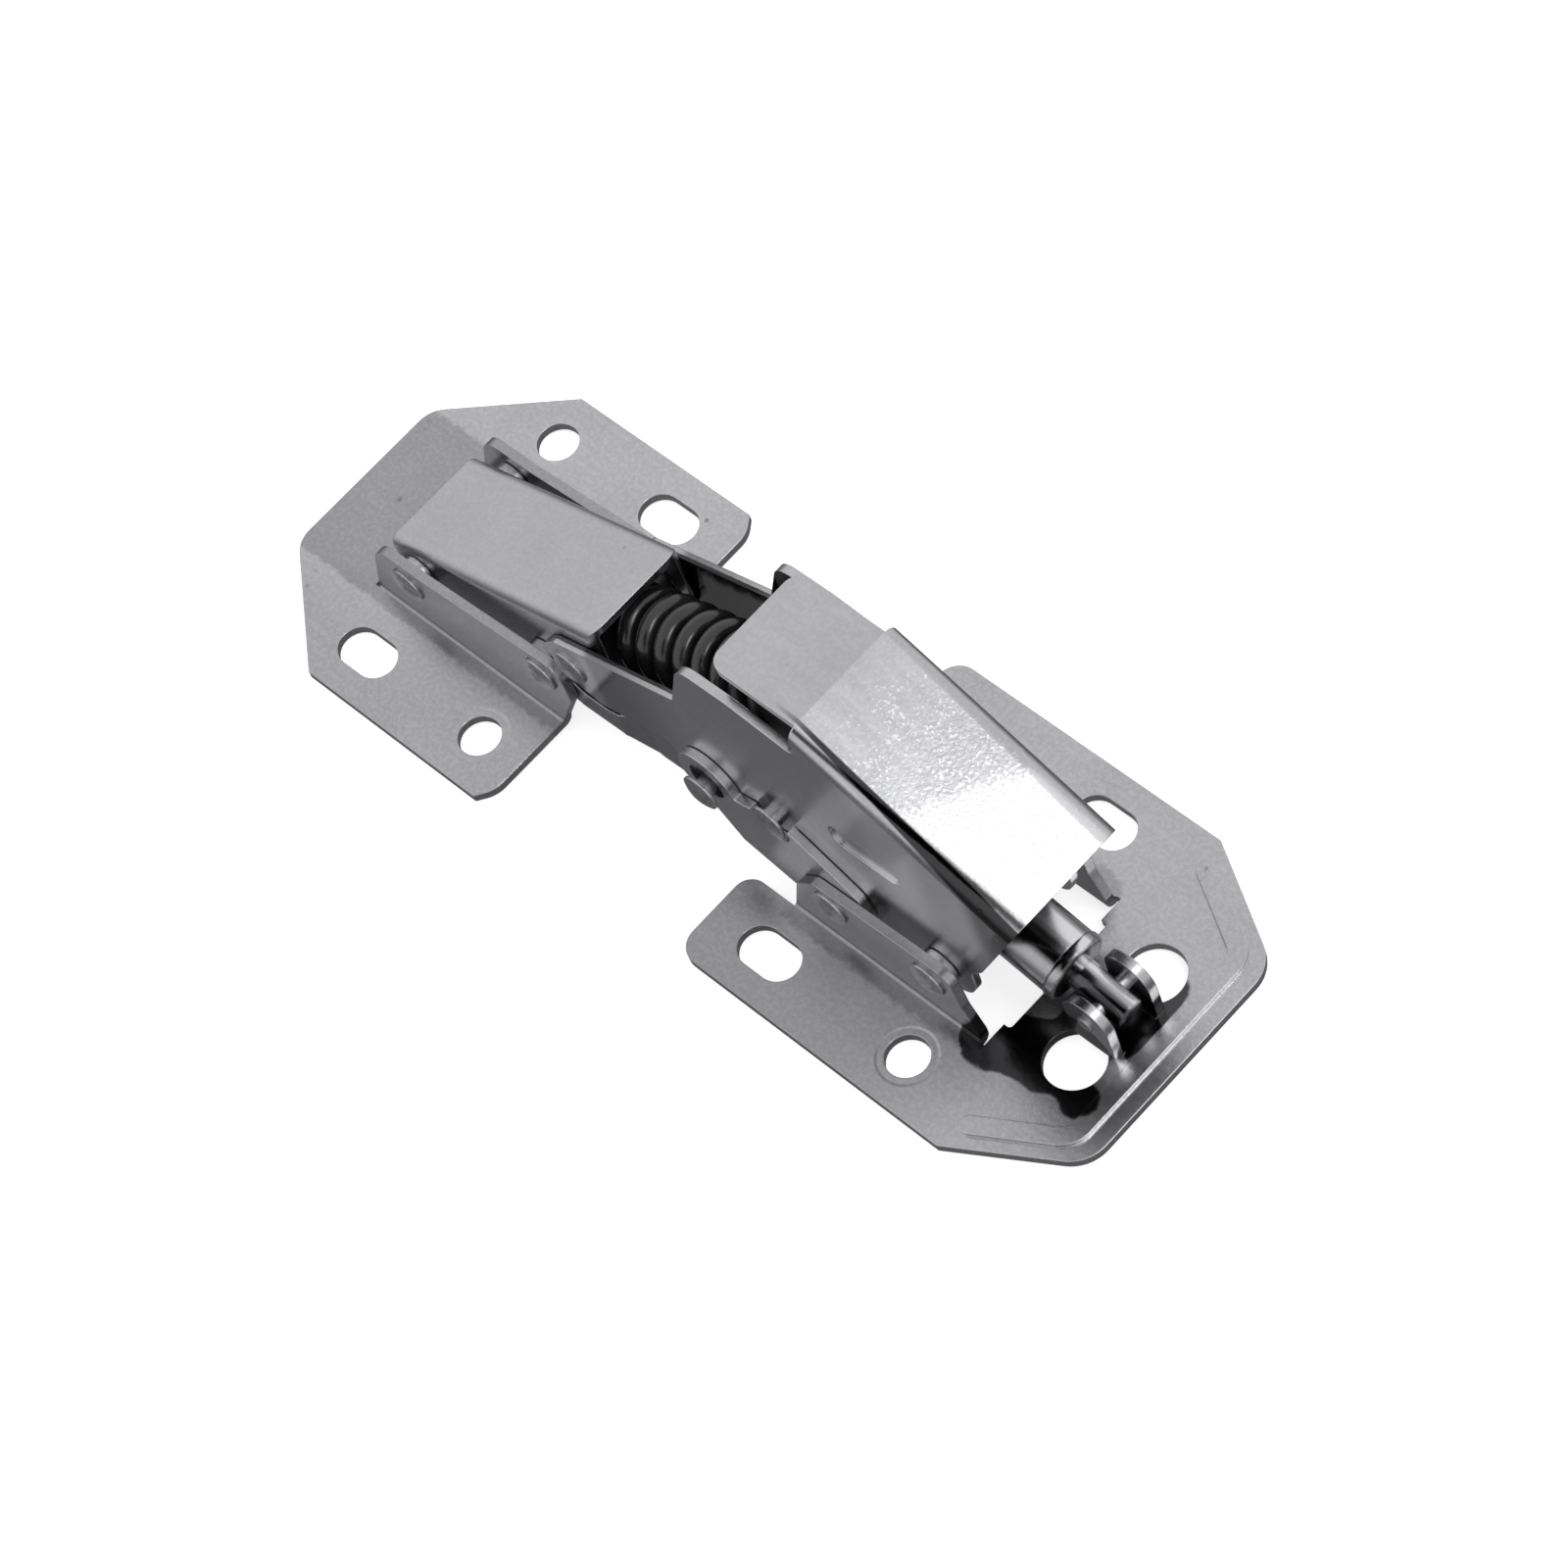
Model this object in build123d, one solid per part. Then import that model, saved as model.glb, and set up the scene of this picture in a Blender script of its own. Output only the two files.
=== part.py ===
from build123d import *
import math
import os

os.makedirs("parts", exist_ok=True)

# Concealed cabinet hinge with spring and damper, laid out flat and fully unfolded.
# Millimetres. X runs from the door side to the cabinet side, Y across, Z up.
# The origin lies under the middle of the hinge, on the undersides of the two plates.

# Pivots in side view: place along X and height above the undersides
a_x = -44.90
a_z = 8.71
b_x = -21.38
b_z = 11.35
c_x = 25.31
c_z = 8.46
d_x = 40.21
d_z = 8.46
e_x = -15.96
e_z = 16.30
f_x = 6.80
f_z = 14.60
g_x = 17.14
g_z = 17.14
h_x = 56.74
h_z = 6.40

# Sheet metal, and the layers of sheet from the middle outwards on each side
plate_sheet = 1.2
arm_sheet = 1.1
side_gap = 0.1
link_inner = 6.2
link_outer = link_inner + arm_sheet
bridge_inner = link_outer + side_gap
bridge_outer = bridge_inner + arm_sheet
tie_inner = bridge_outer + side_gap
tie_outer = tie_inner + arm_sheet
cabinet_inner = tie_outer + side_gap
cabinet_outer = cabinet_inner + plate_sheet
door_inner = bridge_outer + side_gap
door_outer = door_inner + plate_sheet
plate_bend = 0.4
foot_margin = 0.3
foot_overlap = 1.0

# Rivets and pins
rivet_r = 1.6
rivet_collar_r = 2.3
head_r = 2.45
head_rim = 0.3
head_height = 0.9
tail_height = 0.25
turning_gap = 0.05
pin_r = 1.3
tie_pin_stand = 1.0
cross_pin_stand = 1.1
ear_pin_r = 1.0
ear_pin_out = 0.35

# Both plates
half_width = 23.5
end_x = 65.94
hole_r = 2.65
slot_length = 8.3

# Cabinet plate
cabinet_end_half = 15.06
cabinet_chamfer = 14.86
cabinet_end_round = 5.0
cabinet_left_x = 10.54
cabinet_outer_round = 2.8
cabinet_inner_round = 2.3
opening_half = 8.05
opening_round = 1.2
opening_end_x = 47.94
relief = 0.7
cabinet_flange_left_x = 17.74
cabinet_flange_right_x = 46.30
cabinet_flange_rise = 2.30
cabinet_flange_top = 11.6
cabinet_lobe_r = 4.0
cabinet_lobe_rise = 0.6
cabinet_hole_y = 17.46
cabinet_near_slot_x = 19.68
cabinet_near_hole_x = 41.06
cabinet_far_hole_x = 18.34
cabinet_far_slot_x = 39.04
window_x = 56.24
window_y = 6.6
window_r = 3.7
ear_inner = 2.8
ear_r = 3.3
bead_half = 1.15
bead_high = 0.5
bead_start_x = 52.44
bead_start_y = 19.55
bead_turn_x = 62.54
bead_turn_y = 13.9
bead_round = 3.0

# Door plate
door_end_half = 11.37
door_chamfer = 14.55
door_end_round = 4.0
door_right_x = -21.26
door_cusp_in = 1.6
door_cusp_start = 21.4
door_cusp_round = 4.0
door_opening_half = 8.0
door_opening_x = -54.0
door_flange_left_x = -52.8
door_lobe_r = 4.2
door_nose_r = 4.3
door_hole_y = 17.33
door_near_slot_x = -47.38
door_near_hole_x = -28.0
door_far_hole_x = -49.36
door_far_slot_x = -30.43

# Door link: a short channel, its web on top
link_left_x = -50.0
link_left_z = 10.7
link_right_x = -10.06
link_right_z = 26.6
link_corner = 2.0
link_bend = 1.5
link_lobe_r = 4.0
link_nose_r = 4.6
open_pin_gap = 1.35
link_hole_dx = 0.42
link_hole_dz = -0.24

# Bridge arm: a long channel, its web on top of the right half
bridge_nose_r = 3.8
nose_top_x = -17.3
nose_top_z = 20.5
nose_back = 2.5
nose_drop = 2.6
notch_x = 5.1
notch_z = 29.6
notch_round = 0.3
hump_x = 9.0
hump_z = 39.9
hump_round = 3.6
wall_top_x = 17.0
wall_top_z = 40.2
wall_top_round = 12.0
slot_end_z = 39.2
slot_round = 1.4
web_start_x = 27.0
web_z = 43.95
web_bend_x = 38.0
web_end_x = 58.0
web_slope = 23.6
web_bend_start = 1.6
web_bend_middle = 2.0
web_bend_end = 3.0
tongue_left_x = 13.8
tongue_half = 7.1
tongue_round = 2.0
wall_end_x = 47.6
wall_end_z = 14.4
wall_end_slope = 62.6
bridge_lobe_r = 4.6
under_nose_x = -12.5
under_nose_z = 11.6
under_mid_x = 0.2
under_mid_z = 16.0
hook_left_x = 0.5
hook_right_x = 3.6
hook_low_z = 11.8
hook_gap = 0.9
under_left_x = 10.0
under_low_x = 11.8
under_low_z = 12.6
under_corner_x = 17.8
under_corner_z = 11.4
oval_x = 32.7
oval_z = 24.3
oval_length = 10.6
oval_height = 4.2
oval_deep = 0.35

# Inner arm: a channel below the bridge arm, its web underneath
inner_nose_r = 3.4
inner_lobe_r = 4.2
inner_low_left_x = -16.8
inner_low_left_z = 6.9
inner_low_step_z = 7.3
inner_web_left_x = -6.2
inner_web_left_z = 4.9
inner_web_right_x = 1.5
inner_web_right_z = 5.5
inner_step_left_x = -10.0
inner_step_right_x = -6.5
inner_neck_x = -16.0
inner_neck_z = 10.7
inner_rise_x = -12.0
inner_rise_z = 10.8
inner_top_x = -6.5
inner_top_z = 12.7

# Tie links: two flat links with an oversize hole at their free end
tie_hole_dx = 0.10
tie_hole_dz = 0.85
tie_hole_gap = 1.3
tie_nose_r = 4.4
tie_lobe_r = 5.0
tie_low_left_x = 9.64
tie_low_left_z = 5.4
tie_low_right_x = 17.24
tie_low_right_z = 3.3
tie_waist_x = 11.3
tie_waist_z = 15.8
tie_crest_x = 18.9
tie_crest_z = 18.4
tie_back_x = 22.8
tie_back_z = 16.3
tie_tip_x = 29.6
tie_tip_z = 12.4
head_notch_r = 3.1

# Spring and its two seats
spring_drop = 0.74
spring_slope = 23.85
spring_r = 5.5
wire_r = 1.25
wire_flats = 8
coil_pitch = 3.75
spring_start = 4.2
spring_length = 37.5
seat_half = 5.9
seat_hub_r = 3.1
seat_disc_r = 5.2
seat_thick = 1.4
seat_boss_gap = 0.2
seat_boss_long = 2.5
end_seat_gap = 0.05
end_seat_back = 4.6
end_seat_round = 0.8

# Damper on the line from the ear pin to the cross pin
tube_r = 4.2
bore_r = 3.2
tube_start = 5.6
tube_end = 28.3
cap_start = 4.6
cap_rim_r = 4.35
cap_round = 0.5
neck_r = 1.9
neck_back = 3.0
gland_long = 3.0
gland_r = 1.65
rod_r = 1.3
rod_tip = 16.0
piston_r = 2.85
piston_long = 4.0
piston_floor = 1.0
eye_r = 3.1
eye_half = 3.0
damper_fit = 0.02


def rounded_outline(*corners):
    """Closed outline through corners given as across, up and radius of the corner."""
    points = [Vector(across, up) for across, up, radius in corners]
    edges = []
    last = None
    first = None
    for index, (across, up, radius) in enumerate(corners):
        corner = points[index]
        back = points[index - 1] - corner
        ahead = points[(index + 1) % len(points)] - corner
        half_angle = math.radians(back.get_angle(ahead)) / 2
        cut = min(radius / math.tan(half_angle), back.length / 2, ahead.length / 2)
        start = corner + back.normalized() * cut
        end = corner + ahead.normalized() * cut
        if last is not None and (start - last).length > 1e-6:
            edges.append(Line(last, start))
        if cut > 0:
            inwards = (back.normalized() + ahead.normalized()).normalized()
            arc_r = cut * math.tan(half_angle)
            middle = corner + inwards * (arc_r / math.sin(half_angle) - arc_r)
            edges.append(ThreePointArc(start, middle, end))
        if first is None:
            first = start
        last = end
    edges.append(Line(last, first))
    return make_face(edges)


def disc(x, z, radius):
    """Round outline about a pivot in side view."""
    return Pos(x, z) * Circle(radius)


def near_slab(outline, inner, outer):
    """Side-view outline as a slab on the near side, between two distances from the middle."""
    return extrude(Plane.XZ.offset(inner) * outline, amount=outer - inner)


def across(outline, half):
    """Side-view outline as a block across the hinge, to the same distance on both sides."""
    return extrude(Plane.XZ * outline, amount=half, both=True)


def both_sides(shape):
    """A near-side shape together with its mirror image on the far side."""
    return shape + mirror(shape, about=Plane.XZ)


def flat(outline, low, high):
    """Plan-view outline between two heights."""
    return extrude(Plane.XY.offset(low) * outline, amount=high - low)


def rivet_head(x, z, inner):
    """Shallow domed head on the near side, its flat face at the given distance."""
    crown = head_height - head_rim
    ball_r = (head_r**2 + crown**2) / (2 * crown)
    middle = head_r / 2
    middle_high = head_height - ball_r + math.sqrt(ball_r**2 - middle**2)
    outline = make_face([
        Line((0, 0), (head_r, 0)),
        Line((head_r, 0), (head_r, head_rim)),
        ThreePointArc((head_r, head_rim), (middle, middle_high), (0, head_height)),
        Line((0, head_height), (0, 0)),
    ])
    place = Plane(origin=(x, -inner, z), x_dir=(1, 0, 0), z_dir=(0, 0, -1))
    return revolve(place * outline, axis=Axis((x, -inner, z), (0, -1, 0)))


def flange(inner, side_outline, foot):
    """Near flange bent up from a plate, with its bend, cut to its outline in side view."""
    outer = inner + plate_sheet
    tall = half_width
    section = rounded_outline(
        (-inner, 0, plate_bend + plate_sheet), (-inner, tall, 0), (-outer, tall, 0),
        (-outer, plate_sheet, plate_bend), (-foot - foot_overlap, plate_sheet, 0),
        (-foot - foot_overlap, 0, 0))
    strip = extrude(Plane.YZ * section, amount=end_x, both=True)
    return strip & across(side_outline, half_width)


def fixing_holes(slot_x, hole_x, y):
    """One slot and one round hole for the wood screws, along one edge of a plate."""
    deep = 2 * plate_sheet
    cut = flat(Pos(slot_x, y) * SlotOverall(slot_length, 2 * hole_r), -deep, deep)
    return cut + flat(Pos(hole_x, y) * Circle(hole_r), -deep, deep)


def cabinet_plate():
    """Right plate with two flanges for the arms, two ears for the damper and a bead."""
    foot = cabinet_outer + foot_margin
    relief_x = cabinet_flange_right_x + relief
    corner_x = end_x - cabinet_chamfer
    plan = rounded_outline(
        (end_x, -cabinet_end_half, cabinet_end_round), (end_x, cabinet_end_half, cabinet_end_round),
        (corner_x, half_width, 0), (cabinet_left_x, half_width, cabinet_outer_round),
        (cabinet_left_x, foot, cabinet_inner_round), (relief_x, foot, 0),
        (relief_x, opening_half, 0), (opening_end_x, opening_half, opening_round),
        (opening_end_x, -opening_half, opening_round), (relief_x, -opening_half, 0),
        (relief_x, -foot, 0), (cabinet_left_x, -foot, cabinet_inner_round),
        (cabinet_left_x, -half_width, cabinet_outer_round), (corner_x, -half_width, 0))
    plate = flat(plan, 0, plate_sheet)
    plate -= fixing_holes(cabinet_near_slot_x, cabinet_near_hole_x, -cabinet_hole_y)
    plate -= fixing_holes(cabinet_far_slot_x, cabinet_far_hole_x, cabinet_hole_y)
    window = flat(Pos(window_x, -window_y) * Circle(window_r), -plate_sheet, 2 * plate_sheet)
    plate -= both_sides(window)

    lobe_top = d_z + cabinet_lobe_r
    side = rounded_outline(
        (cabinet_flange_left_x, -plate_sheet, 0), (cabinet_flange_left_x, plate_sheet, 0),
        (cabinet_flange_left_x + cabinet_flange_rise, c_z, cabinet_lobe_r / 2),
        (c_x - cabinet_lobe_r / 2, cabinet_flange_top, cabinet_lobe_r / 2),
        (d_x, lobe_top, cabinet_lobe_r), (d_x + cabinet_lobe_r, lobe_top, cabinet_lobe_r * 0.95),
        (d_x + cabinet_lobe_r + cabinet_lobe_rise, c_z - cabinet_lobe_r / 2, cabinet_lobe_r / 2),
        (cabinet_flange_right_x, plate_sheet * 2, 0), (cabinet_flange_right_x, -plate_sheet, 0))
    plate += both_sides(flange(cabinet_inner, side, foot))
    holes = disc(c_x, c_z, rivet_r) + disc(d_x, d_z, rivet_r)
    plate -= both_sides(near_slab(holes, cabinet_inner - side_gap, cabinet_outer + side_gap))

    ear_outer = ear_inner + plate_sheet
    section = rounded_outline(
        (-ear_outer, 0, plate_bend + plate_sheet), (-ear_outer, half_width, 0),
        (-ear_inner, half_width, 0), (-ear_inner, plate_sheet, plate_bend),
        (-ear_inner / 2, plate_sheet, 0), (-ear_inner / 2, 0, 0))
    ear_side = disc(h_x, h_z, ear_r) + Pos(h_x, h_z / 2) * Rectangle(2 * ear_r, h_z)
    ear = extrude(Plane.YZ * section, amount=end_x) & across(ear_side, half_width)
    ear -= near_slab(disc(h_x, h_z, ear_pin_r), ear_inner / 2, 2 * ear_outer)
    plate += both_sides(ear)

    line = FilletPolyline(
        (bead_start_x, -bead_start_y), (bead_turn_x, -bead_turn_y),
        (bead_turn_x, bead_turn_y), (bead_start_x, bead_start_y), radius=bead_round)
    bead = make_face(offset(line, bead_half, side=Side.BOTH))
    return plate + flat(bead, plate_sheet, plate_sheet + bead_high)


def door_plate():
    """Left plate with two flanges that reach past it to the inner arm's pivot."""
    foot = door_outer + foot_margin
    relief_x = door_flange_left_x - relief
    corner_x = door_chamfer - end_x
    plan = rounded_outline(
        (-end_x, door_end_half, door_end_round), (-end_x, -door_end_half, door_end_round),
        (corner_x, -half_width, 0), (door_right_x - door_cusp_in, -half_width, 0),
        (door_right_x, -door_cusp_start, door_cusp_round), (door_right_x, -foot, 0),
        (relief_x, -foot, 0), (relief_x, -door_opening_half, 0),
        (door_opening_x, -door_opening_half, 0), (door_opening_x, door_opening_half, 0),
        (relief_x, door_opening_half, 0), (relief_x, foot, 0), (door_right_x, foot, 0),
        (door_right_x, door_cusp_start, door_cusp_round),
        (door_right_x - door_cusp_in, half_width, 0), (corner_x, half_width, 0))
    plate = flat(plan, 0, plate_sheet)
    plate -= fixing_holes(door_near_slot_x, door_near_hole_x, -door_hole_y)
    plate -= fixing_holes(door_far_slot_x, door_far_hole_x, door_hole_y)

    nose_x = b_x + door_nose_r
    side = rounded_outline(
        (door_flange_left_x, -plate_sheet, 0), (door_flange_left_x, 2 * plate_sheet, plate_sheet),
        (a_x - door_lobe_r, a_z + door_lobe_r, door_lobe_r * 0.95),
        (a_x + door_lobe_r, a_z + door_lobe_r, door_lobe_r),
        (nose_x, b_z + door_nose_r, door_nose_r * 0.95), (nose_x, b_z - door_nose_r / 2, door_nose_r / 2),
        (door_right_x, plate_sheet, 0), (door_right_x, -plate_sheet, 0))
    plate += both_sides(flange(door_inner, side, foot))
    holes = disc(a_x, a_z, rivet_r) + disc(b_x, b_z, rivet_r)
    return plate - both_sides(near_slab(holes, door_inner - side_gap, door_outer + side_gap))


def door_link():
    """Short channel from the door plate to the end of the bridge arm, its web on top."""
    lean = math.atan2(link_right_z - link_left_z, link_right_x - link_left_x)
    down_x = arm_sheet * math.sin(lean)
    down_z = arm_sheet * math.cos(lean)
    hole_x = e_x + link_hole_dx
    hole_z = e_z + link_hole_dz
    side = rounded_outline(
        (link_left_x, link_left_z, 0), (link_right_x, link_right_z, 0),
        (link_right_x + down_x, link_right_z - down_z, 0),
        (hole_x + link_nose_r, hole_z, link_nose_r / 2), (hole_x, hole_z - link_nose_r, link_nose_r / 2),
        (a_x, a_z - link_lobe_r, link_lobe_r), (a_x - link_lobe_r, a_z - link_lobe_r / 2, link_lobe_r / 2))
    side += disc(hole_x, hole_z, link_nose_r) + disc(a_x, a_z, link_lobe_r)
    long = end_x
    outer = Box(long, 2 * link_outer, long, align=(Align.CENTER, Align.CENTER, Align.MAX))
    inner = Box(2 * long, 2 * link_inner, long, align=(Align.CENTER, Align.CENTER, Align.MAX))
    outer = fillet(outer.edges().filter_by(Axis.X).group_by(Axis.Z)[-1], link_bend)
    inner = fillet(inner.edges().filter_by(Axis.X).group_by(Axis.Z)[-1], link_bend - arm_sheet)
    channel = outer - Pos(0, 0, -arm_sheet) * inner
    middle_x = (link_left_x + link_right_x) / 2
    middle_z = (link_left_z + link_right_z) / 2
    channel = Pos(middle_x, 0, middle_z) * Rot(0, -math.degrees(lean), 0) * channel
    link = channel & across(side, half_width)
    plan = rounded_outline(
        (-end_x, -link_outer, 0), (link_right_x, -link_outer, link_corner),
        (link_right_x, link_outer, link_corner), (-end_x, link_outer, 0))
    link &= flat(plan, 0, half_width * 2)
    link -= across(disc(a_x, a_z, rivet_r + turning_gap), half_width)
    return link - across(disc(hole_x, hole_z, pin_r + open_pin_gap), half_width)


def channel_section(x, top, bend):
    """Cross-section of the bridge arm's channel at one place along it."""
    inner_bend_r = bend - arm_sheet
    section = rounded_outline(
        (-bridge_outer, 0, 0), (-bridge_outer, top, bend), (bridge_outer, top, bend),
        (bridge_outer, 0, 0), (bridge_inner, 0, 0),
        (bridge_inner, top - arm_sheet, inner_bend_r),
        (-bridge_inner, top - arm_sheet, inner_bend_r), (-bridge_inner, 0, 0))
    return Plane.YZ.offset(x) * section


def bridge_arm():
    """Long channel from the door link to the cabinet plate, open on top on its left half."""
    fall = math.tan(math.radians(web_slope))
    middle_top = web_z - (web_bend_x - web_start_x) * fall
    end_top = web_z - (web_end_x - web_start_x) * fall
    start = channel_section(web_start_x, web_z, web_bend_start)
    middle = channel_section(web_bend_x, middle_top, web_bend_middle)
    end = channel_section(web_end_x, end_top, web_bend_end)
    channel = loft([start, middle], ruled=True) + loft([middle, end], ruled=True)
    walls = Pos(web_start_x, 0, 0) * Box(
        2 * end_x, 2 * bridge_outer, 2 * end_x, align=(Align.MAX, Align.CENTER, Align.CENTER))
    walls -= Box(4 * end_x, 2 * bridge_inner, 4 * end_x)

    end_rise = web_z
    end_run = end_rise / math.tan(math.radians(wall_end_slope))
    side = rounded_outline(
        (e_x - bridge_nose_r, e_z, 0), (nose_top_x - nose_back, nose_top_z - nose_drop, nose_back / 2),
        (nose_top_x, nose_top_z, nose_back / 2), (notch_x, notch_z, notch_round),
        (hump_x, hump_z, hump_round), (wall_top_x, wall_top_z, wall_top_round),
        (web_start_x, slot_end_z, slot_round), (web_start_x, 2 * web_z, 0),
        (wall_end_x + end_run, wall_end_z + end_rise, 0), (wall_end_x, wall_end_z, arm_sheet / 2),
        (d_x + bridge_lobe_r, d_z + bridge_lobe_r / 2, arm_sheet),
        (d_x + bridge_lobe_r, d_z, 0), (d_x, d_z - bridge_lobe_r, 0),
        (under_corner_x, under_corner_z, head_r), (under_low_x, under_low_z, arm_sheet),
        (under_left_x, f_z + pin_r + hook_gap, arm_sheet),
        (f_x - pin_r - hook_gap, f_z + pin_r + hook_gap, arm_sheet),
        (hook_right_x, hook_low_z, arm_sheet), (hook_left_x, hook_low_z, arm_sheet),
        (under_mid_x, under_mid_z, arm_sheet), (under_nose_x, under_nose_z, head_r),
        (e_x, e_z - bridge_nose_r, 0))
    side += disc(e_x, e_z, bridge_nose_r) + disc(d_x, d_z, bridge_lobe_r)
    arm = (walls + channel) & across(side, half_width)

    tongue = rounded_outline(
        (tongue_left_x, -tongue_half, tongue_round), (web_start_x, -tongue_half, 0),
        (web_start_x, tongue_half, 0), (tongue_left_x, tongue_half, tongue_round))
    arm += flat(tongue, web_z - arm_sheet, web_z)
    oval = Pos(oval_x, oval_z) * SlotOverall(oval_length, oval_height)
    arm -= both_sides(near_slab(oval, bridge_outer - oval_deep, bridge_outer + oval_deep))
    arm += both_sides(near_slab(oval, bridge_inner - oval_deep, bridge_inner))
    holes = disc(e_x, e_z, pin_r) + disc(g_x, g_z, pin_r) + disc(d_x, d_z, rivet_r + turning_gap)
    return arm - across(holes, half_width)


def inner_arm():
    """Channel under the bridge arm, its legs stepped outwards round the door link's."""
    far_x = 2 * g_x
    legs = make_face(Polyline(
        (-far_x, -bridge_inner), (inner_step_left_x, -bridge_inner), (inner_step_right_x, -link_inner),
        (far_x, -link_inner), (far_x, -link_outer), (inner_step_right_x, -link_outer),
        (inner_step_left_x, -bridge_outer), (-far_x, -bridge_outer), close=True))
    legs = flat(legs, 0, web_z)
    side = rounded_outline(
        (b_x, b_z - inner_nose_r, 0), (inner_low_left_x, inner_low_left_z, head_r),
        (inner_step_left_x, inner_low_step_z, head_r), (inner_web_left_x, inner_web_left_z, head_r),
        (inner_web_right_x, inner_web_right_z, 0), (g_x, g_z - inner_lobe_r, 0),
        (g_x, g_z + inner_lobe_r, 0), (inner_top_x, inner_top_z, head_r),
        (inner_rise_x, inner_rise_z, head_r), (inner_neck_x, inner_neck_z, head_r),
        (b_x, b_z + inner_nose_r, 0))
    side += disc(b_x, b_z, inner_nose_r) + disc(g_x, g_z, inner_lobe_r)
    arm = both_sides(legs & across(side, half_width))

    lean = math.atan2(inner_web_right_z - inner_web_left_z, inner_web_right_x - inner_web_left_x)
    up_x = -arm_sheet * math.sin(lean)
    up_z = arm_sheet * math.cos(lean)
    web = rounded_outline(
        (inner_web_left_x, inner_web_left_z, 0), (inner_web_right_x, inner_web_right_z, 0),
        (inner_web_right_x + up_x, inner_web_right_z + up_z, 0),
        (inner_web_left_x + up_x, inner_web_left_z + up_z, 0))
    arm += across(web & side, (link_inner + link_outer) / 2)
    holes = disc(b_x, b_z, rivet_r + turning_gap) + disc(g_x, g_z, pin_r + turning_gap)
    return arm - across(holes + disc(f_x, f_z, pin_r), half_width)


def tie_link():
    """Near tie link between the inner arm and the cabinet plate, with an oversize hole."""
    hole_x = f_x + tie_hole_dx
    hole_z = f_z + tie_hole_dz
    side = rounded_outline(
        (hole_x - tie_nose_r, hole_z, 0), (hole_x, hole_z + tie_nose_r, 0),
        (tie_waist_x, tie_waist_z, arm_sheet),
        (tie_crest_x, tie_crest_z, arm_sheet / 2), (tie_back_x, tie_back_z, 0),
        (tie_tip_x, tie_tip_z, head_r), (c_x + tie_lobe_r, c_z, 0), (c_x, c_z - tie_lobe_r, 0),
        (tie_low_right_x, tie_low_right_z, 0), (tie_low_left_x, tie_low_left_z, 0))
    side += disc(hole_x, hole_z, tie_nose_r) + disc(c_x, c_z, tie_lobe_r)
    side -= disc(g_x, g_z, head_notch_r) + disc(hole_x, hole_z, pin_r + tie_hole_gap)
    side -= disc(c_x, c_z, rivet_r + turning_gap)
    return near_slab(side, tie_inner, tie_outer)


def door_rivets():
    """Two rivets that are fast in the door plate; the door link turns on them."""
    shank = near_slab(disc(a_x, a_z, rivet_r), link_inner - side_gap, door_outer)
    collar = near_slab(disc(a_x, a_z, rivet_collar_r), bridge_inner, bridge_outer)
    tail = near_slab(disc(a_x, a_z, rivet_collar_r), link_inner - side_gap - tail_height,
                     link_inner - side_gap)
    return both_sides(shank + collar + tail + rivet_head(a_x, a_z, door_outer))


def arm_rivets():
    """Two rivets that are fast in the door plate, flush inside; the inner arm turns on them."""
    shank = near_slab(disc(b_x, b_z, rivet_r), bridge_inner, door_outer)
    return both_sides(shank + rivet_head(b_x, b_z, door_outer))


def link_pin():
    """Through pin, fast in the end of the bridge arm, for the door link and a spring seat."""
    shank = near_slab(disc(e_x, e_z, pin_r), 0, bridge_outer)
    return both_sides(shank + rivet_head(e_x, e_z, bridge_outer))


def tie_pin():
    """Through pin, fast in the inner arm, its necks in the oversize holes of the tie links."""
    head_at = tie_outer + tie_pin_stand
    return both_sides(near_slab(disc(f_x, f_z, pin_r), 0, head_at) + rivet_head(f_x, f_z, head_at))


def cross_pin():
    """Through pin, fast in the bridge arm, for the inner arm and the damper."""
    head_at = bridge_outer + cross_pin_stand
    return both_sides(near_slab(disc(g_x, g_z, pin_r), 0, head_at) + rivet_head(g_x, g_z, head_at))


def tie_rivets():
    """Two rivets that are fast in the cabinet plate, flush inside; the tie links turn on them."""
    shank = near_slab(disc(c_x, c_z, rivet_r), tie_inner, cabinet_outer)
    return both_sides(shank + rivet_head(c_x, c_z, cabinet_outer))


def bridge_rivets():
    """Two shoulder rivets that are fast in the cabinet plate; the bridge arm turns on them."""
    tail_at = bridge_inner - side_gap
    shank = near_slab(disc(d_x, d_z, rivet_r), tail_at, cabinet_outer)
    shoulder = near_slab(disc(d_x, d_z, head_r), tie_inner, tie_outer)
    tail = near_slab(disc(d_x, d_z, rivet_collar_r), tail_at - tail_height, tail_at)
    return both_sides(shank + shoulder + tail + rivet_head(d_x, d_z, cabinet_outer))


spring_lean = math.radians(spring_slope)
spring_plane = Plane(
    origin=(e_x, 0, e_z - spring_drop),
    x_dir=(math.cos(spring_lean), 0, math.sin(spring_lean)), z_dir=(0, -1, 0))
spring_end = spring_start + spring_length
boss_r = spring_r - 2 * wire_r - seat_boss_gap


def along_spring(start, end, radius):
    """Cylinder on the spring's axis between two distances from the link pin."""
    lying = Plane(origin=spring_plane.origin + spring_plane.x_dir * start, z_dir=spring_plane.x_dir)
    return extrude(lying * Circle(radius), amount=end - start)


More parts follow.
